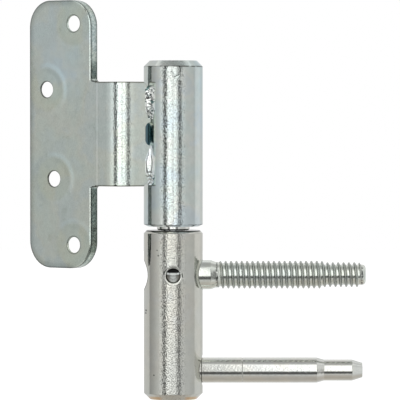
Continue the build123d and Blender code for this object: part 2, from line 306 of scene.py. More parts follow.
def make_floor():
    """Pale floor below the hinge, which takes its shadow and leaves the reflections to the studio."""
    mesh = bpy.data.meshes.new("floor")
    half = FLOOR_SIZE / 2
    low = cad_box[0][2] - FLOOR_BELOW
    corners = [(-half, -half, low), (half, -half, low), (half, half, low), (-half, half, low)]
    mesh.from_pydata(corners, [], [(0, 1, 2, 3)])
    floor = bpy.data.objects.new("floor", mesh)
    bpy.context.collection.objects.link(floor)
    material = bpy.data.materials.new("pale_floor")
    material.use_nodes = True
    tree = material.node_tree
    tree.nodes.clear()
    matt = add_node(tree, "ShaderNodeBsdfDiffuse", {"Color": FLOOR_COLOUR}).outputs[0]
    glow = add_node(tree, "ShaderNodeEmission", {"Color": WHITE, "Strength": FLOOR_GLOW}).outputs[0]
    both = add_node(tree, "ShaderNodeAddShader", {0: matt, 1: glow}).outputs[0]
    clear = add_node(tree, "ShaderNodeBsdfTransparent").outputs[0]
    ray = add_node(tree, "ShaderNodeLightPath").outputs
    seen = mix_shader(tree, ray["Is Camera Ray"], matt, both)
    kept = mix_shader(tree, ray["Is Glossy Ray"], seen, clear)
    add_node(tree, "ShaderNodeOutputMaterial", {"Surface": kept})
    mesh.materials.append(material)


def make_lamp(name, place, power):
    """Soft square lamp aimed at the hinge."""
    data = bpy.data.lights.new(name, "AREA")
    data.size = LAMP_SIZE
    data.energy = power
    lamp = bpy.data.objects.new(name, data)
    lamp.location = place
    lamp.rotation_euler = (-Vector(place)).to_track_quat("-Z", "Y").to_euler()
    lamp.visible_glossy = False
    bpy.context.collection.objects.link(lamp)


# Zinc plate: its tints by the level of a noise, and the sizes of its patches in millimetres
BLUISH = (0.88, 0.97, 1.0)
GREENISH = (0.94, 1.0, 0.95)
YELLOWISH = (1.0, 0.995, 0.93)
LILAC = (0.91, 0.965, 1.0)
TINTS = [(0.36, BLUISH), (0.45, GREENISH), (0.53, YELLOWISH), (0.6, LILAC), (0.68, BLUISH)]
TINT_SIZE = 14
MOTTLE_SIZE = 2.2
MOTTLE = [(0.3, 0.93), (0.7, 1.0)]
GLOSS_SIZE = 1.6
GLOSS_NOISE = (0.3, 0.7)
SPECK_RISE = 0.1
BEVEL_SAMPLES = 6
# Cosines of the bevel's turn at which the painted shade along an edge starts and is darkest
EDGE_SHADE_TURN = (0.99, 0.85)
# Painted shade: the colour a surface takes in the mirror images its neighbours show of it, as though unlit
UNLIT = (0.1, 0.115, 0.12)


def zinc_relief(tree, place, grain, speck, dent, stretch, height, calm):
    """Height of the surface, in millimetres."""
    relief = times(tree, noise_level(tree, place, grain[0], 1.0, stretch), grain[1])
    speck_noise = noise_level(tree, place, speck[0], 1.0, stretch)
    specks = remap(tree, speck_noise, speck[1], speck[1] + SPECK_RISE, 0.0, speck[2])
    dents = times(tree, noise_level(tree, place, dent[0], 2.0), dent[1])
    relief = plus(tree, relief, specks)
    if calm:
        relief = times(tree, relief, calm(tree, place))
    relief = plus(tree, relief, dents)
    if height:
        relief = plus(tree, relief, height(tree, place))
    return relief


def zinc_colour(tree, place, rounded, colour, stretch, edge, tint, shade, unlit):
    """Base colour with its tints, mottling, marks, painted light and shade, and painted shade along edges.
    """
    tinted = ramp(tree, noise_level(tree, place, TINT_SIZE, 3.0), TINTS)
    mottled = ramp(tree, noise_level(tree, place, MOTTLE_SIZE, 4.0, stretch), MOTTLE)
    base = mix_colour(tree, "MULTIPLY", tint, rgba(colour), tinted)
    base = mix_colour(tree, "MULTIPLY", 1.0, base, mottled)
    if shade:
        base = mix_colour(tree, "MULTIPLY", 1.0, base, shade(tree, place))
    # Painted shade along edges, where the bevel turns the normal
    if edge[1]:
        true_normal = add_node(tree, "ShaderNodeNewGeometry").outputs["Normal"]
        turned = vector_calc(tree, "DOT_PRODUCT", rounded, true_normal)["Value"]
        base = mix_colour(tree, "MIX", remap(tree, turned, *EDGE_SHADE_TURN, 0.0, edge[1]), base, BLACK)
    # Painted shade on the surface, seen only in its neighbours' mirror images
    if unlit:
        glossy = add_node(tree, "ShaderNodeLightPath").outputs["Is Glossy Ray"]
        base = shaded(tree, base, times(tree, glossy, unlit(tree, place)), UNLIT)
    return base


def make_zinc(
    name, colour, gloss, grain, speck=(0.5, 0.55, 0.0), dent=(6.0, 0.01), stretch=(1, 1, 1),
    edge=(0.16, 0.0), tint=0.5, height=None, shade=None, polish=None, calm=None, unlit=None,
):
    """Bright zinc plate: tint patches, uneven gloss, grain, stray specks, soft dents and painted shade on
    edges.

    gloss: lowest and highest roughness; grain: size and depth; speck: size, threshold and depth;
    dent: size and depth; edge: radius, and how dark the painted shade along edges is. Functions add to
    these: height gives relief in millimetres, shade a colour with marks, painted light and painted shade,
    polish a factor on the roughness, calm a factor on the depth of grain and specks, and unlit where
    neighbours' mirror images of the surface get painted shade.
    """
    material = bpy.data.materials.new(name)
    material.use_nodes = True
    tree = material.node_tree
    shader = tree.nodes["Principled BSDF"]
    shader.inputs["Metallic"].default_value = 1.0
    place = add_node(tree, "ShaderNodeTexCoord").outputs["Object"]

    rounded = add_node(tree, "ShaderNodeBevel", {"Radius": edge[0] * MM}, samples=BEVEL_SAMPLES).outputs[0]
    relief = zinc_relief(tree, place, grain, speck, dent, stretch, height, calm)
    bump = {"Height": times(tree, relief, MM), "Distance": 1.0, "Strength": 1.0, "Normal": rounded}
    tree.links.new(add_node(tree, "ShaderNodeBump", bump).outputs[0], shader.inputs["Normal"])

    base = zinc_colour(tree, place, rounded, colour, stretch, edge, tint, shade, unlit)
    tree.links.new(base, shader.inputs["Base Color"])

    roughness = remap(tree, noise_level(tree, place, GLOSS_SIZE, 4.0, stretch), *GLOSS_NOISE, *gloss)
    if polish:
        roughness = times(tree, roughness, polish(tree, place))
    tree.links.new(roughness, shader.inputs["Roughness"])
    return material


# Leaf, in millimetres: the front of its plate, its strap and its screw holes
PLATE_NORMAL = (-0.622515, -0.782608, 0.0)
PLATE_BEHIND = (0.622515, 0.782608, 0.0)
PLATE_ALONG = (0.782608, -0.622515, 0.0)
PLATE_CENTRE = (-38.4702, 3.468, 32.5)
PLATE_HALF = (13.55, 45.45)
PLATE_CORNER = 9.1
SHEET = 3.5
STRAP_LEFT = (-26.6, -26.2)
STRAP_TOP = 50.25
STRAP_BOTTOM = 15.05
STRAP_MIDDLE = (STRAP_TOP + STRAP_BOTTOM) / 2
STRAP_HALF = (STRAP_TOP - STRAP_BOTTOM) / 2
STRAP_CLEAR = (STRAP_HALF - 0.2, STRAP_HALF + 0.6)
HOLES = [(-33.814, -0.236, 70.0), (-43.205, 7.234, 47.7), (-40.701, 5.242, 17.3), (-33.814, -0.236, -5.0)]
# The strap's bend: its middle and reach, its share of the sheet's roughness, and its grain
BEND_X = -17.05
BEND_REACH = (3.5, 6.0)
BEND_GLOSS = 0.4
BEND_GRAIN_SIZE = 0.5
BEND_GRAIN_DEPTH = 0.05
# The rolled edge of the plate's front, which fades in across the plate
EDGE_ROLL = 0.45
ROLL_SLOPE = 0.58
ROLL_FADE = (2.0, 6.0)
# The disc that the press left round each hole, and its border with the hollow inside it. On one side,
# given across the plate and up it, each border gets a painted highlight and its hollow painted shade,
# by a share of the full light.
DISC_HEIGHTS = [0.05, 0.12, 0.12, 0.05]
DISC_RADII = (6.8, 9.8)
DISC_TINT = (0.985, 0.98, 0.93)
RING_RADIUS = 8.3
RING_LINE = (0.1, 1.3)
RING_SIDE = (1.5, 6.5)
RING_PAINTED_HIGHLIGHT = (0.05, 0.09, 0.12, 1)
TINT_RADII = (RING_RADIUS - 1.8, RING_RADIUS)
HOLLOW_RADIUS = RING_RADIUS - 2.0
HOLLOW_LINE = (0.3, 1.4)
HOLLOW_PAINTED_SHADE = 0.9
RINGS = [((-0.6, -0.8), 0.25), ((0.75, 0.66), 1.0), ((0.75, 0.66), 0.8), ((0.3, 0.95), 0.5)]
# Colours from the plate's foot to its top, its grit and stains, and the bluish patch above its middle
LEAF_SPAN = (-14.0, 78.0)
LEAF_COLOURS = [
    (0.0, (0.885, 0.92, 0.9)), (0.3, (0.925, 0.95, 0.92)),
    (0.62, (0.95, 0.975, 0.95)), (0.9, (0.95, 1.0, 1.0)),
]
GRIT_SIZE = 0.5
GRIT = [(0.3, 0.9), (0.7, 1.0)]
STAIN_SIZE = 5.0
STAIN_NOISE = (0.6, 0.72)
STAIN_SHARE = 0.35
STAIN_COLOUR = (0.7, 0.7, 0.65)
PATCH_CENTRE = (-37.5, 2.7, 54.5)
PATCH_RADII = (3.0, 13.0)
PATCH_COLOUR = (0.9, 0.975, 1.02, 1)
# Painted shade on the rims of the two inner and the two outer holes
INNER_RIM = (2.75, 3.15)
INNER_RIM_SHADE = 0.22
OUTER_RIM = (3.0, 0.05, 0.3)
OUTER_RIM_SHADE = 0.55
# Painted shade along the outline of the plate's left part: distances in from the edge, and level
OUTLINE_SHADES = [(0.1, 0.75, 0.55), (0.6, 2.5, 0.8)]
OUTLINE_FADE = (4.0, 8.0)
# The plate's sheared edge, from the front at 0 to the back at 1, with painted shade in lines next to
# its front and back, and its specks
SHEARED = (0.03, 0.12)
EDGE_SHADE_LEVELS = [
    (0.0, 0.9), (0.05, 0.3), (0.13, 0.3), (0.23, 0.8), (0.5, 1.0), (0.62, 0.8), (0.84, 0.72), (0.92, 0.25),
]
EDGE_SPECK_SIZE = 0.7
EDGE_SPECKS = [(0.42, (0.62, 0.68, 0.68)), (0.6, (1.0, 1.0, 1.0))]
# Painted shade along the strap's upper and lower edges, and a painted highlight in a line beside the fold
STRAP_EDGE_LINE = (0.15, 0.6)
STRAP_EDGE_SHADE = (0.35, 0.33, 0.3)
FOLD_LINE = (-25.66, 0.1, 0.3)
FOLD_PAINTED_HIGHLIGHT = 0.2


def plate_place(tree, place):
    """Place across the plate, up it and behind its front, from the middle of the front."""
    return [along(tree, place, PLATE_CENTRE, direction) for direction in (PLATE_ALONG, UP, PLATE_BEHIND)]


def inside_outline(tree, place):
    """Distance in from the plate's rounded outline, in millimetres."""
    squares = []
    for value, half in zip(plate_place(tree, place), PLATE_HALF):
        past = minus(tree, calc(tree, "ABSOLUTE", value), half - PLATE_CORNER)
        past = calc(tree, "MAXIMUM", past, 0.0)
        squares.append(times(tree, past, past))
    return minus(tree, PLATE_CORNER, calc(tree, "SQRT", plus(tree, *squares)))


def clear_of_strap(tree, place):
    """0 at the heights where the strap leaves the plate, and 1 above and below."""
    beside = near(tree, in_mm(tree, place)[2], STRAP_MIDDLE, *STRAP_CLEAR)
    return minus(tree, 1.0, beside)


def on_plate(tree, place):
    """1 on the plate, and 0 on the strap."""
    return remap(tree, in_mm(tree, place)[0], *STRAP_LEFT, 1.0, 0.0)


def on_bend(tree, place):
    """1 where the strap bends, and 0 elsewhere."""
    return near(tree, in_mm(tree, place)[0], BEND_X, *BEND_REACH)


def bend_polish(tree, place):
    """The press tool left the bend smoother than the sheet."""
    return remap(tree, on_bend(tree, place), 0.0, 1.0, 1.0, BEND_GLOSS)


def leaf_height(tree, place):
    """Rolled edge of the front, slightly raised discs round the screw holes, and the bend's grain."""
    drop = -ROLL_SLOPE * EDGE_ROLL
    roll = remap(tree, inside_outline(tree, place), 0.0, EDGE_ROLL, drop, 0.0, smooth=False)
    roll = times(tree, roll, remap(tree, plate_place(tree, place)[0], *ROLL_FADE, 0.0, 1.0))
    total = times(tree, roll, clear_of_strap(tree, place))
    for hole, high in zip(HOLES, DISC_HEIGHTS):
        disc = remap(tree, from_line(tree, place, hole, PLATE_NORMAL), *DISC_RADII, high, 0.0)
        total = plus(tree, disc, total)
    grain = times(tree, noise_level(tree, place, BEND_GRAIN_SIZE, 1.0), BEND_GRAIN_DEPTH)
    return plus(tree, total, times(tree, grain, on_bend(tree, place)))


def sheet_colour(tree, place):
    """Greyer below, with grit, stains and a bluish patch."""
    up = remap(tree, in_mm(tree, place)[2], *LEAF_SPAN, 0.0, 1.0, smooth=False)
    shade = ramp(tree, up, LEAF_COLOURS)
    grit = ramp(tree, noise_level(tree, place, GRIT_SIZE, 3.0), GRIT)
    shade = mix_colour(tree, "MULTIPLY", 1.0, shade, grit)
    stains = remap(tree, noise_level(tree, place, STAIN_SIZE, 5.0), *STAIN_NOISE, 0.0, STAIN_SHARE)
    shade = shaded(tree, shade, stains, STAIN_COLOUR)
    patch = remap(tree, from_line(tree, place, PATCH_CENTRE, PLATE_NORMAL), *PATCH_RADII, 1.0, 0.0)
    return mix_colour(tree, "MIX", patch, shade, PATCH_COLOUR)


def ring_shade(tree, place, shade):
    """The disc round each screw hole is a little warmer; on one side its border gets a painted highlight
    and the hollow inside it painted shade.
    """
    for hole, ((across_share, up_share), strength) in zip(HOLES, RINGS):
        away = from_line(tree, place, hole, PLATE_NORMAL)
        across = times(tree, along(tree, place, hole, PLATE_ALONG), across_share)
        up = times(tree, along(tree, place, hole, UP), up_share)
        side = remap(tree, plus(tree, across, up), *RING_SIDE, 0.0, strength)
        shade = shaded(tree, shade, remap(tree, away, *TINT_RADII, 1.0, 0.0), DISC_TINT)
        catch = times(tree, near(tree, away, RING_RADIUS, *RING_LINE), side)
        shade = mix_colour(tree, "ADD", catch, shade, RING_PAINTED_HIGHLIGHT)
        hollow = times(tree, near(tree, away, HOLLOW_RADIUS, *HOLLOW_LINE), side)
        shade = shaded(tree, shade, hollow, HOLLOW_PAINTED_SHADE)
    return shade


def hole_rims(tree, place, shade):
    """Painted shade on the holes' rims, broad round the inner holes and fine round the outer ones."""
    for hole in HOLES[1:3]:
        rim = remap(tree, from_line(tree, place, hole, PLATE_NORMAL), *INNER_RIM, 1.0, 0.0)
        shade = shaded(tree, shade, rim, INNER_RIM_SHADE)
    for hole in (HOLES[0], HOLES[3]):
        rim = near(tree, from_line(tree, place, hole, PLATE_NORMAL), *OUTER_RIM)
        shade = shaded(tree, shade, rim, OUTER_RIM_SHADE)
    return shade


def left_outline(tree, place, shade):
    """Painted shade along the outline of the plate's left part."""
    left_part = remap(tree, plate_place(tree, place)[0], *OUTLINE_FADE, 1.0, 0.0)
    inside = inside_outline(tree, place)
    for low, high, level in OUTLINE_SHADES:
        outline = times(tree, remap(tree, inside, low, high, 1.0, 0.0), left_part)
        shade = shaded(tree, shade, outline, level)
    return shade


def edge_shade(tree, place, shade):
    """The plate's sheared edge: painted shade in lines next to its front and back, with light specks
    between.
    """
    on_edge = remap(tree, inside_outline(tree, place), *SHEARED, 1.0, 0.0)
    on_edge = times(tree, on_edge, clear_of_strap(tree, place))
    behind = remap(tree, plate_place(tree, place)[2], 0.0, SHEET, 0.0, 1.0, smooth=False)
    specks = ramp(tree, noise_level(tree, place, EDGE_SPECK_SIZE, 2.0), EDGE_SPECKS)
    level = mix_colour(tree, "MULTIPLY", 1.0, ramp(tree, behind, EDGE_SHADE_LEVELS), specks)
    return mix_colour(tree, "MULTIPLY", on_edge, shade, level)


def strap_lines(tree, place, shade):
    """Painted shade along the strap's upper and lower edge, and a fine painted highlight beside the fold."""
    x, _, z = in_mm(tree, place)
    on_strap = remap(tree, x, *STRAP_LEFT, 0.0, 1.0)
    for end in (STRAP_TOP, STRAP_BOTTOM):
        edge = times(tree, near(tree, z, end, *STRAP_EDGE_LINE), on_strap)
        shade = shaded(tree, shade, edge, STRAP_EDGE_SHADE)
    line = times(tree, near(tree, x, *FOLD_LINE), FOLD_PAINTED_HIGHLIGHT)
    return mix_colour(tree, "ADD", line, shade, WHITE)


def leaf_shade(tree, place):
    """Sheet colour with all of the leaf's marks, painted highlights and painted shade."""
    shade = sheet_colour(tree, place)
    for marks in (ring_shade, hole_rims, left_outline, edge_shade, strap_lines):
        shade = marks(tree, place, shade)
    return shade


# Both barrels, in millimetres: their rough part is a band along the front and one along the back
ROUGH_MIDDLE_X = -0.2
ROUGH_REACH = (3.7, 5.0)
SIDE_GRAIN = 0.16
PIT_RISE = 0.07


def barrel_front(tree, place):
    """1 in front and behind, where the barrels are rough, and 0 at their sides."""
    return near(tree, in_mm(tree, place)[0], ROUGH_MIDDLE_X, *ROUGH_REACH)


def barrel_calm(tree, place):
    """The barrels are rougher in front and behind than at their sides."""
    return remap(tree, barrel_front(tree, place), 0.0, 1.0, SIDE_GRAIN, 1.0, smooth=False)


def pitted(tree, place, shade, size, low, level):
    """Shade with small dark pits where fine noise is low, in the rough part of a barrel."""
    pits = remap(tree, noise_level(tree, place, size, 1.0), low, low + PIT_RISE, level, 1.0)
    return mix_colour(tree, "MULTIPLY", barrel_front(tree, place), shade, pits)


# Upper knuckle, in millimetres: nicks near its top, from and to (x, z), and the painted shade in lines
# where its chamfers start, each as its height and half-widths
NICKS = [((0.7, 51.6), (1.9, 52.4)), ((2.4, 51.1), (3.2, 52.4)), ((-0.5, 53.5), (0.3, 51.8))]
NICK_RADII = (0.1, 0.45)
NICK_DEPTH = 0.06
UPPER_LOW_EDGE = 2.0
TOP_LINE = (55.45, 0.1, 0.32)
TOP_LINE_SHADE = (0.3, 0.29, 0.28)
LOW_LINE = (UPPER_LOW_EDGE, 0.08, 0.28)
LOW_LINE_SHADE = 0.45
LINE_BREAK_SIZE = 2.0
LINE_BREAK_NOISE = (0.42, 0.56)
LINE_BREAK_SHARE = 0.25
# How far the lower chamfer is turned to the front, the bluish right side, and the painted shade in the
# opening beside the strap's end, whose edge fades over shares of its half-sizes
UPPER_BOTTOM = 1.35
CHAMFER_TURN = 1.5
UPPER_PITS = {"size": 0.45, "low": 0.3, "level": 0.6}
BLUE_RIGHT = (6.4, 7.6)
BLUE_UP = (20.0, 42.0)
BLUE_TINT = (0.93, 0.985, 1.03)
OPENING_MIDDLE = (-8.4, 32.65)
OPENING_HALF = (1.2, 4.0)
OPENING_EDGE = (0.85, 1.1)
OPENING_Y = (-3.0, -2.5)
OPENING_SHADE = (0.07, 0.16, 0.2)


def upper_height(tree, place):
    """Three small nicks, and a slope that turns the lower chamfer to the front."""
    x, _, z = in_mm(tree, place)
    total = remap(tree, z, UPPER_BOTTOM, UPPER_LOW_EDGE, CHAMFER_TURN, 0.0, smooth=False)
    for start, end in NICKS:
        nick = remap(tree, from_segment(tree, x, z, start, end), *NICK_RADII, -NICK_DEPTH, 0.0)
        total = plus(tree, nick, total)
    return total


def in_opening(tree, x, y, z):
    """1 in the opening between the strap's end and the barrel, on the front half, and 0 elsewhere."""
    squares = []
    for value, middle, half in zip((x, z), OPENING_MIDDLE, OPENING_HALF):
        share = calc(tree, "DIVIDE", minus(tree, value, middle), half)
        squares.append(times(tree, share, share))
    inside = remap(tree, plus(tree, *squares), *OPENING_EDGE, 1.0, 0.0)
    return times(tree, inside, remap(tree, y, *OPENING_Y, 1.0, 0.0))


def upper_shade(tree, place):
    """Painted shade in broken lines where the chamfers start, pits, a bluish side and painted shade in the
    opening.
    """
    x, y, z = in_mm(tree, place)
    breaks = noise_level(tree, place, LINE_BREAK_SIZE, 2.0)
    broken = remap(tree, breaks, *LINE_BREAK_NOISE, LINE_BREAK_SHARE, 1.0)
    shade = WHITE
    # Painted shade in broken lines where the chamfers start
    for line, level in ((TOP_LINE, TOP_LINE_SHADE), (LOW_LINE, LOW_LINE_SHADE)):
        shade = shaded(tree, shade, times(tree, near(tree, z, *line), broken), level)
    shade = pitted(tree, place, shade, **UPPER_PITS)
    blue = times(tree, remap(tree, x, *BLUE_RIGHT, 0.0, 1.0), remap(tree, z, *BLUE_UP, 0.0, 1.0))
    shade = shaded(tree, shade, blue, BLUE_TINT)
    # Painted shade: the opening beside the strap's end is dark teal
    return shaded(tree, shade, in_opening(tree, x, y, z), OPENING_SHADE)


# Level of the threaded pin and the lock screw, and the pin's ends, in millimetres
PIN_LOW, PIN_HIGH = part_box("threaded_pin")
PIN_LEVEL = (PIN_LOW.z + PIN_HIGH.z) / 2 / MM
PIN_LEFT = PIN_LOW.x / MM
PIN_RIGHT = PIN_HIGH.x / MM

# Lower knuckle, in millimetres: the worn mouth of its lock hole and how far that is turned to the
# front, painted shade round the rim of its cross bore and in a line under the gap, and its lean
LOCK_BORE = 2.55
LOCK_MOUTH = 3.35
MOUTH_TURN = 0.96
CROSS_RIM = (5.1, 5.55)
CROSS_RIM_SHADE = (0.25, 0.26, 0.25)
GAP_LINE = (-0.49, -0.24)
GAP_LINE_SHADE = (0.1, 0.1, 0.09)
LOWER_LEAN = 0.03
FRONT_Y = (-2.0, -1.0)
LOWER_PITS = {"size": 0.42, "low": 0.34, "level": 0.66}
# An orange tint at the foot, to either side of the middle, and small dark marks in front as x, z and
# radius, with the share of the radius that is darkest
FOOT = (-56.3, -55.9)
FOOT_TINT = (6.2, 1.2, 3.0)
FOOT_TINT_COLOUR = (1.0, 0.74, 0.52)
LOWER_MARKS = [
    (-9.2, -27.0, 0.45), (-9.3, -27.9, 0.4), (-6.5, -48.7, 0.35), (-5.4, -6.5, 0.3), (-5.0, -8.3, 0.35),
]
MARK_CORE = 0.5
MARK_COLOUR = (0.35, 0.36, 0.35)


def lower_height(tree, place):
    """Worn mouth of the lock hole, which turns its chamfer to the front, and the barrel's slight lean."""
    x, y, _ = in_mm(tree, place)
    from_bore = from_line(tree, place, (0, 0, PIN_LEVEL), BACK)
    mouth = remap(tree, from_bore, LOCK_BORE, LOCK_MOUTH, MOUTH_TURN, 0.0, smooth=False)
    mouth = times(tree, mouth, remap(tree, y, *FRONT_Y, 1.0, 0.0))
    return plus(tree, mouth, times(tree, x, -LOWER_LEAN))


def lower_shade(tree, place):
    """Painted shade under the gap and round the cross bore, orange foot tints, pits and marks."""
    x, y, z = in_mm(tree, place)
    # Painted shade in a line under the gap and round the cross bore's rim
    shade = shaded(tree, WHITE, remap(tree, z, *GAP_LINE, 0.0, 1.0), GAP_LINE_SHADE)
    rim = remap(tree, from_line(tree, place, (0, 0, PIN_LEVEL), RIGHT), *CROSS_RIM, 1.0, 0.0)
    shade = shaded(tree, shade, rim, CROSS_RIM_SHADE)
    foot = remap(tree, z, *FOOT, 1.0, 0.0)
    tinted_sides = near(tree, calc(tree, "ABSOLUTE", x), *FOOT_TINT)
    shade = shaded(tree, shade, times(tree, foot, tinted_sides), FOOT_TINT_COLOUR)
    shade = pitted(tree, place, shade, **LOWER_PITS)
    in_front = remap(tree, y, *FRONT_Y, 1.0, 0.0)
    for mark_x, mark_z, radius in LOWER_MARKS:
        away = from_line(tree, place, (mark_x, 0, mark_z), BACK)
        mark = times(tree, remap(tree, away, radius * MARK_CORE, radius, 1.0, 0.0), in_front)
        shade = shaded(tree, shade, mark, MARK_COLOUR)
    return shade


# Weld beads, in millimetres: where they get painted shade, and its dark lines and teal patches. A dark
# line runs where the noise is near its middle level.
UPPER_BEAD_Z = (33.0, 34.0)
LOWER_BEAD_END_Z = (18.0, 20.5)
DARK_LINE_SIZE = 1.9
DARK_LINE_NOISE = (0.5, 0.008, 0.03)
DARK_LINE_SHADE = (0.05, 0.08, 0.08)
DARK_PATCH_SIZE = 1.3
DARK_PATCH_NOISE = (0.63, 0.7)
DARK_PATCH_SHADE = (0.2, 0.3, 0.3)


def bead_shade(tree, place):
    """Painted shade as dark lines and teal patches, in the upper bead and at the lower bead's lower end."""
    z = in_mm(tree, place)[2]
    upper = remap(tree, z, *UPPER_BEAD_Z, 0.0, 1.0)
    lower_end = remap(tree, z, *LOWER_BEAD_END_Z, 1.0, 0.0)
    here = calc(tree, "MAXIMUM", upper, lower_end)
    dark_lines = near(tree, noise_level(tree, place, DARK_LINE_SIZE, 1.0), *DARK_LINE_NOISE)
    shade = shaded(tree, WHITE, times(tree, dark_lines, here), DARK_LINE_SHADE)
    dark_patches = remap(tree, noise_level(tree, place, DARK_PATCH_SIZE, 0.0), *DARK_PATCH_NOISE, 0.0, 1.0)
    return shaded(tree, shade, times(tree, dark_patches, here), DARK_PATCH_SHADE)


# Guide pin, in millimetres: the painted shade where it meets its hole's mouth, as its place and half-widths
PIN_MOUTH = (9.56, 0.08, 0.28)
PIN_MOUTH_SHADE = (0.3, 0.3, 0.28)


def pin_shade(tree, place):
    """Painted shade in a line round the guide pin where it comes out of the knuckle."""
    return shaded(tree, WHITE, near(tree, in_mm(tree, place)[0], *PIN_MOUTH), PIN_MOUTH_SHADE)


# Lock screw, in millimetres: painted light and shade, by levels from the bottom of its hole to the top,
# which bow down at the sides, and painted shade on its sides below
LOCK_REACH = 2.5
LOCK_BOW = 0.06
LOCK_LIGHT_LEVELS = [(0.0, 0.6), (0.35, 0.75), (0.5, 0.5), (0.54, 1.0), (0.64, 1.0), (0.69, 0.02), (1.0, 0.02)]
LOCK_SIDES = (0.4, 1.9)
LOCK_BELOW = (0.0, 0.4)
LOCK_SIDE_SHADE = (0.3, 0.28, 0.25)


def socket_shade(tree, place):
    """Painted light and shade on the lock screw: a band of light, its hole's shadow above and darker sides
    below.
    """
    x, _, z = in_mm(tree, place)
    bowed = times(tree, times(tree, x, x), LOCK_BOW)
    above = minus(tree, minus(tree, z, PIN_LEVEL), bowed)
    up = remap(tree, above, -LOCK_REACH, LOCK_REACH, 0.0, 1.0, smooth=False)
    aside = remap(tree, calc(tree, "ABSOLUTE", x), *LOCK_SIDES, 0.0, 1.0)
    below = remap(tree, above, *LOCK_BELOW, 1.0, 0.0)
    return shaded(tree, ramp(tree, up, LOCK_LIGHT_LEVELS), times(tree, aside, below), LOCK_SIDE_SHADE)


# Painted shade on the rolled thread, from its root at 0 to its crest at 1
THREAD_SHADE_LEVELS = [(0.0, 1.0), (0.18, 1.0), (0.36, 0.38), (0.7, 0.4), (0.92, 0.66), (1.0, 0.66)]


def thread_shade(tree, place):
    """Painted shade: dark flanks and grey crests, by the height over the blank that the mesh carries."""
    high = add_node(tree, "ShaderNodeAttribute", attribute_name="over_blank").outputs["Fac"]
    return ramp(tree, high, THREAD_SHADE_LEVELS)


def dress(node, material):
    """Gives a CAD node its material."""
    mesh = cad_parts[node].data
    mesh.materials.clear()
    mesh.materials.append(material)


# Threaded pin, in millimetres, along X at its level in the lower knuckle
PIN_STEPS = 72
PIN_SHARP_ANGLE = 40
SHANK_RADIUS = 5.0
SHANK_END = 12.8
SHANK_ROUNDING = (0.25, 0.05)
NECK_START = 14.3
NECK_ROUNDING = 0.08
THREAD_START = 14.9
THREAD_END = 63.7
BLANK_RADIUS = 4.33
THREAD_PITCH = 1.817
FIRST_CREST = 15.97
LEAD_IN = 1.5
RUN_OUT = 0.8
TIP_ZONE = (50.0, 51.6)
TIP_DROP = 0.5
TIP_END_DROP = 0.36
TIP_ROUNDING = 1.2
TIP_STEPS = 5
SOCKET_WIDTH = 5.0
SOCKET_DEPTH = 4.6
SOCKET_POINT = 1.2
END_CHAMFER = 0.5
GROOVE_HALF_WIDTH = 1.85
GROOVE_DEPTH = 1.0
# Height of the rolled thread over the blank, across one pitch from the middle of the crest
THREAD_SHAPE = [
    (0.0, 0.42), (0.07, 0.4), (0.13, 0.3), (0.2, 0.05), (0.27, -0.25), (0.33, -0.37), (0.42, -0.4),
    (0.62, -0.4), (0.7, -0.37), (0.75, -0.25), (0.81, 0.05), (0.87, 0.3), (0.93, 0.4),
]
THREAD_LOW = min(height for _, height in THREAD_SHAPE)
THREAD_HIGH = max(height for _, height in THREAD_SHAPE)
# Distances in metres within which a mesh's points are joined, and its tiny edges dissolved
JOIN_DISTANCE = 1e-7
TINY_DISTANCE = 1e-8


def ease(value, low, high):
    """Smooth step from 0 at low to 1 at high."""
    share = min(max((value - low) / (high - low), 0.0), 1.0)
    return share * share * (3 - 2 * share)


def pin_point(x, radius, turn):
    """Point on the threaded pin: turn is 0 on top, a quarter in front and a half below."""
    angle = 2 * pi * turn
    return Vector((x, -radius * sin(angle), PIN_LEVEL + radius * cos(angle))) * MM


def socket_radius(turn):
    """Distance from the middle of the hexagon socket to its side."""
    from_flat = (turn * 360 + 30) % 60 - 30
    return SOCKET_WIDTH / 2 / cos(radians(from_flat))


def add_ring(bm, x, radius):
    """Ring of vertices round the pin; the radius is a number or a function of the turn."""
    turns = [step / PIN_STEPS for step in range(PIN_STEPS)]
    sized = [(turn, radius(turn) if callable(radius) else radius) for turn in turns]
    return [bm.verts.new(pin_point(x, r, turn)) for turn, r in sized]


def join_rings(bm, first, second):
    """Faces between two rings."""
    for i in range(len(first)):
        j = (i + 1) % len(first)
        bm.faces.new((first[i], first[j], second[j], second[i]))


def close_ring(bm, ring, point):
    """Fan of faces from a ring to one point."""
    tip = bm.verts.new(point)
    for i in range(len(ring)):
        bm.faces.new((ring[i], ring[(i + 1) % len(ring)], tip))


def finish_mesh(bm, name, material, sharp_angle):
    """Object from a bmesh, shaded smooth up to an angle."""
    bmesh.ops.remove_doubles(bm, verts=bm.verts, dist=JOIN_DISTANCE)
    bmesh.ops.dissolve_degenerate(bm, edges=bm.edges, dist=TINY_DISTANCE)
    bmesh.ops.recalc_face_normals(bm, faces=bm.faces)
    for face in bm.faces:
        face.smooth = True
    for edge in bm.edges:
        edge.smooth = edge.calc_face_angle(0) < radians(sharp_angle)
    mesh = bpy.data.meshes.new(name)
    bm.to_mesh(mesh)
    bm.free()
    mesh.materials.append(material)
    made = bpy.data.objects.new(name, mesh)
    bpy.context.collection.objects.link(made)
    return made


def thread_radius(x, height):
    """Radius of the threaded run, where the rolled thread fades in and out and drops at the tip."""
    ending = ease(x, THREAD_END - RUN_OUT, THREAD_END)
    depth = ease(x, THREAD_START, THREAD_START + LEAD_IN) * (1 - ending)
    drop = TIP_DROP * ease(x, *TIP_ZONE)
    end_drop = (TIP_DROP + TIP_END_DROP - drop) * ending
    return BLANK_RADIUS - drop - end_drop + height * depth


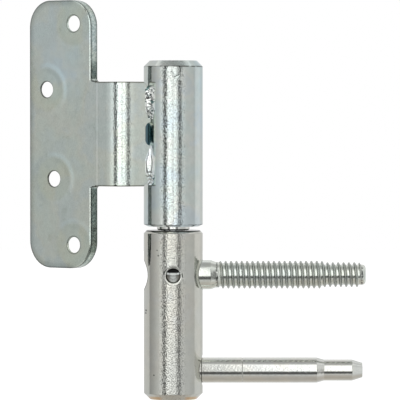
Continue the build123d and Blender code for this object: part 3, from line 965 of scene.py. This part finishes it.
def add_shank(bm):
    """Hexagon socket, shank with its lock groove, and neck, up to where the thread starts."""
    outline = [
        (PIN_LEFT + SOCKET_DEPTH, socket_radius),
        (PIN_LEFT, socket_radius),
        (PIN_LEFT, SHANK_RADIUS - END_CHAMFER),
        (PIN_LEFT + END_CHAMFER, SHANK_RADIUS),
        (-GROOVE_HALF_WIDTH, SHANK_RADIUS),
        (-GROOVE_HALF_WIDTH, SHANK_RADIUS - GROOVE_DEPTH),
        (GROOVE_HALF_WIDTH, SHANK_RADIUS - GROOVE_DEPTH),
        (GROOVE_HALF_WIDTH, SHANK_RADIUS),
        (SHANK_END - SHANK_ROUNDING[0], SHANK_RADIUS),
        (SHANK_END, SHANK_RADIUS - SHANK_ROUNDING[1]),
        (NECK_START, BLANK_RADIUS + NECK_ROUNDING),
        (THREAD_START, BLANK_RADIUS),
    ]
    rings = [add_ring(bm, x, radius) for x, radius in outline]
    for first, second in zip(rings, rings[1:]):
        join_rings(bm, first, second)
    close_ring(bm, rings[0], pin_point(PIN_LEFT + SOCKET_DEPTH + SOCKET_POINT, 0, 0))


def add_thread(bm):
    """Rolled thread: the shape of one pitch wound along the blank, held within the threaded run."""
    over_blank = bm.verts.layers.float["over_blank"]
    turns = int((THREAD_END - THREAD_START) / THREAD_PITCH) + 3
    start = FIRST_CREST - THREAD_PITCH * 2
    rows = []
    for step in range(turns * PIN_STEPS + 1):
        turn = step / PIN_STEPS
        row = []
        for place, height in THREAD_SHAPE:
            x = min(max(start + THREAD_PITCH * (turn + place), THREAD_START), THREAD_END)
            vert = bm.verts.new(pin_point(x, thread_radius(x, height), turn % 1))
            vert[over_blank] = (height - THREAD_LOW) / (THREAD_HIGH - THREAD_LOW)
            row.append(vert)
        rows.append(row)
    for step, (row, next_row) in enumerate(zip(rows, rows[1:])):
        for i in range(len(THREAD_SHAPE) - 1):
            bm.faces.new((row[i], next_row[i], next_row[i + 1], row[i + 1]))
        if step + 1 + PIN_STEPS < len(rows):
            turn_on, next_turn_on = rows[step + PIN_STEPS], rows[step + 1 + PIN_STEPS]
            bm.faces.new((row[-1], next_row[-1], next_turn_on[0], turn_on[0]))


def add_tip(bm):
    """Rounded tip of the pin."""
    tip_radius = thread_radius(THREAD_END, 0)
    last = add_ring(bm, THREAD_END, tip_radius)
    for step in range(1, TIP_STEPS + 1):
        angle = step / TIP_STEPS * pi / 2
        x = PIN_RIGHT - TIP_ROUNDING + TIP_ROUNDING * sin(angle)
        ring = add_ring(bm, x, tip_radius - TIP_ROUNDING * (1 - cos(angle)))
        join_rings(bm, last, ring)
        last = ring
    close_ring(bm, last, pin_point(PIN_RIGHT, 0, 0))


def make_threaded_pin(material):
    """Frame pin with its hexagon socket, lock groove, neck, rolled thread and smaller tip."""
    bm = bmesh.new()
    bm.verts.layers.float.new("over_blank")
    add_shank(bm)
    add_thread(bm)
    add_tip(bm)
    made = finish_mesh(bm, "rolled_thread_pin", material, PIN_SHARP_ANGLE)
    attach(made, "side_screw")
    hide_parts("threaded_pin")


# Weld beads in the corner between the strap's end and the upper knuckle, in millimetres: their reach on
# each, the depth of their root under the corner, and their steps across and along
KNUCKLE_RADIUS = 10.0
CORNER = Vector((-7.51, -6.99, 0.0))
STRAP_ANGLE = radians(30)
STRAP_DIRECTION = Vector((cos(STRAP_ANGLE), sin(STRAP_ANGLE), 0))
OUTWARD = Vector((-0.148, -0.989, 0.0))
REACH_ON_STRAP = 2.1
REACH_ON_BARREL = 1.5
ROOT_DEPTH = 0.5
BEAD_ARC_STEPS = 14
BEAD_LENGTH_STEPS = 90
BEAD_SHARP_ANGLE = 60
# Width of each bead, as a share of those reaches, and its height in millimetres: where these rise and
# fall on the way down, 0 to 1, the share lost in the fall, the full size, and what is added all along
UPPER_WIDTH = {"rise": (-0.06, 0.1), "fall": (0.7, 1.0), "lost": 0.55, "full": 1.0, "added": 0.05}
UPPER_CROWN = {"rise": (0.0, 0.15), "fall": (0.75, 1.0), "lost": 0.8, "full": 0.36, "added": 0.02}
LOWER_WIDTH = {"rise": (-0.05, 0.4), "fall": (0.6, 1.0), "lost": 0.5, "full": 1.0, "added": 0.05}
LOWER_CROWN = {"rise": (-0.05, 0.35), "fall": (0.7, 1.0), "lost": 0.7, "full": 0.42, "added": 0.02}
# Lumps, in millimetres: the size of the noise, its height, and a shift that gives each its own noise
COARSE_LUMPS = {"size": 1.1, "height": 0.2, "shift": 0}
FINE_LUMPS = {"size": 0.5, "height": 0.06, "shift": 40}
LOWER_LUMPS = {"size": 2.2, "height": 0.12, "shift": 90}
# Ripples at the lower bead's end: where they fade in on the way down, their height, pitch and bow
RIPPLE_START = (0.62, 0.78)
RIPPLE_HEIGHT = 0.2
RIPPLE_PITCH = 1.25
RIPPLE_BOW = 2


def swell(down, rise, fall, lost, full, added):
    """Size of a bead at a way down, 0 to 1."""
    return full * ease(down, *rise) * (1 - lost * ease(down, *fall)) + added


def lumps(point, size, height, shift):
    """Height of the lump at a point."""
    return height * noise.noise(Vector((point.x, point.y, point.z + shift)) / size)


def upper_lump(down, share, point):
    """Coarse and fine lumps, the same all over the bead."""
    return lumps(point, **COARSE_LUMPS) + lumps(point, **FINE_LUMPS)


def lower_lump(down, share, point):
    """Smooth at first, with curved ripples where the bead was left off."""
    ripple = sin(2 * pi * (point.z / RIPPLE_PITCH + RIPPLE_BOW * (share - 0.5) ** 2))
    return ease(down, *RIPPLE_START) * RIPPLE_HEIGHT * ripple + lumps(point, **LOWER_LUMPS)


def bead_point(z, share, width, crown):
    """Point across a bead: share 0 is its toe on the strap, and 1 its toe on the barrel."""
    toe_strap = CORNER - STRAP_DIRECTION * (REACH_ON_STRAP * width)
    corner_angle = atan2(-CORNER.x, -CORNER.y)
    barrel_angle = corner_angle - REACH_ON_BARREL * width / KNUCKLE_RADIUS
    toe_barrel = Vector((-sin(barrel_angle), -cos(barrel_angle), 0)) * KNUCKLE_RADIUS
    point = toe_strap.lerp(toe_barrel, share) + OUTWARD * crown * 4 * share * (1 - share)
    return Vector((point.x, point.y, z))


def make_bead(name, node, material, width, crown, lump):
    """Closed bead along a CAD weld.

    width and crown hold the values for swell, and lump is a function of the way down, the share across
    and the point.
    """
    low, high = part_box(node)
    top, bottom = high.z / MM, low.z / MM
    bm = bmesh.new()
    rings = []
    for step in range(BEAD_LENGTH_STEPS + 1):
        down = step / BEAD_LENGTH_STEPS
        z = top + (bottom - top) * down
        ring = []
        for i in range(BEAD_ARC_STEPS + 1):
            share = i / BEAD_ARC_STEPS
            middle = 4 * share * (1 - share)
            point = bead_point(z, share, swell(down, **width), swell(down, **crown))
            point += OUTWARD * lump(down, share, point) * middle
            ring.append(bm.verts.new(point * MM))
        ring.append(bm.verts.new((CORNER - OUTWARD * ROOT_DEPTH + Vector((0, 0, z))) * MM))
        rings.append(ring)
    for first, second in zip(rings, rings[1:]):
        join_rings(bm, first, second)
    for ring in (rings[0], rings[-1]):
        bm.faces.new(ring)
    made = finish_mesh(bm, name, material, BEAD_SHARP_ANGLE)
    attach(made, "door_side")
    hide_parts(node)


make_camera()
make_world()
make_floor()
make_lamp("key_lamp", **KEY_LAMP)
make_lamp("fill_lamp", **FILL_LAMP)

sheet_zinc = make_zinc(
    "zinc_sheet", colour=(0.925, 0.96, 0.93), gloss=(0.14, 0.24), grain=(0.4, 0.01),
    speck=(0.4, 0.55, 0.006), dent=(9.0, 0.03), edge=(0.3, 0.3), tint=0.55,
    height=leaf_height, shade=leaf_shade, polish=bend_polish, unlit=on_plate,
)
upper_zinc = make_zinc(
    "zinc_upper", colour=(0.75, 0.79, 0.79), gloss=(0.02, 0.05), grain=(0.45, 0.044),
    speck=(0.4, 0.56, 0.015), dent=(6.0, 0.004), stretch=(1, 1, 0.8), edge=(0.2, 0.4), tint=0.8,
    height=upper_height, shade=upper_shade, calm=barrel_calm,
)
lower_zinc = make_zinc(
    "zinc_lower", colour=(0.715, 0.71, 0.66), gloss=(0.03, 0.07), grain=(0.45, 0.06),
    speck=(0.5, 0.5, 0.012), dent=(5.0, 0.006), stretch=(1, 1, 0.8), edge=(0.3, 0.3), tint=0.3,
    height=lower_height, shade=lower_shade, calm=barrel_calm,
)
pin_zinc = make_zinc(
    "zinc_pin", colour=(0.84, 0.84, 0.80), gloss=(0.04, 0.09), grain=(0.4, 0.005),
    speck=(0.4, 0.58, 0.004), dent=(3.0, 0.004), stretch=(0.6, 1, 1), edge=(0.2, 0.4), tint=0.3,
    shade=pin_shade,
)
thread_zinc = make_zinc(
    "zinc_thread", colour=(0.88, 0.91, 0.86), gloss=(0.08, 0.18), grain=(0.8, 0.008),
    speck=(0.5, 0.56, 0.006), dent=(3.0, 0.01), edge=(0.1, 0.0), tint=0.3, shade=thread_shade,
)
weld_zinc = make_zinc(
    "zinc_weld", colour=(0.93, 0.96, 0.96), gloss=(0.05, 0.12), grain=(0.8, 0.03),
    speck=(0.5, 0.55, 0.02), dent=(2.0, 0.03), edge=(0.1, 0.0), tint=0.6, shade=bead_shade,
)
dark_steel = make_zinc("ground_steel", colour=(0.6, 0.6, 0.6), gloss=(0.15, 0.25), grain=(0.6, 0.003))
socket_steel = make_zinc(
    "lock_steel", colour=(0.7, 0.7, 0.68), gloss=(0.15, 0.25), grain=(0.6, 0.003), shade=socket_shade,
)

for node, material in [
    ("door_leaf", sheet_zinc), ("upper_knuckle", upper_zinc), ("lower_knuckle", lower_zinc),
    ("guide_pin", pin_zinc), ("flanged_bush", pin_zinc), ("upper_bush", pin_zinc),
    ("hinge_pin", dark_steel), ("thrust_disc", dark_steel), ("height_screw", dark_steel),
    ("lock_screw", socket_steel),
]:
    dress(node, material)

make_threaded_pin(thread_zinc)
make_bead("weld_bead_upper", "upper_weld", weld_zinc, UPPER_WIDTH, UPPER_CROWN, upper_lump)
make_bead("weld_bead_lower", "lower_weld", weld_zinc, LOWER_WIDTH, LOWER_CROWN, lower_lump)

bpy.context.scene.view_settings.view_transform = "Standard"
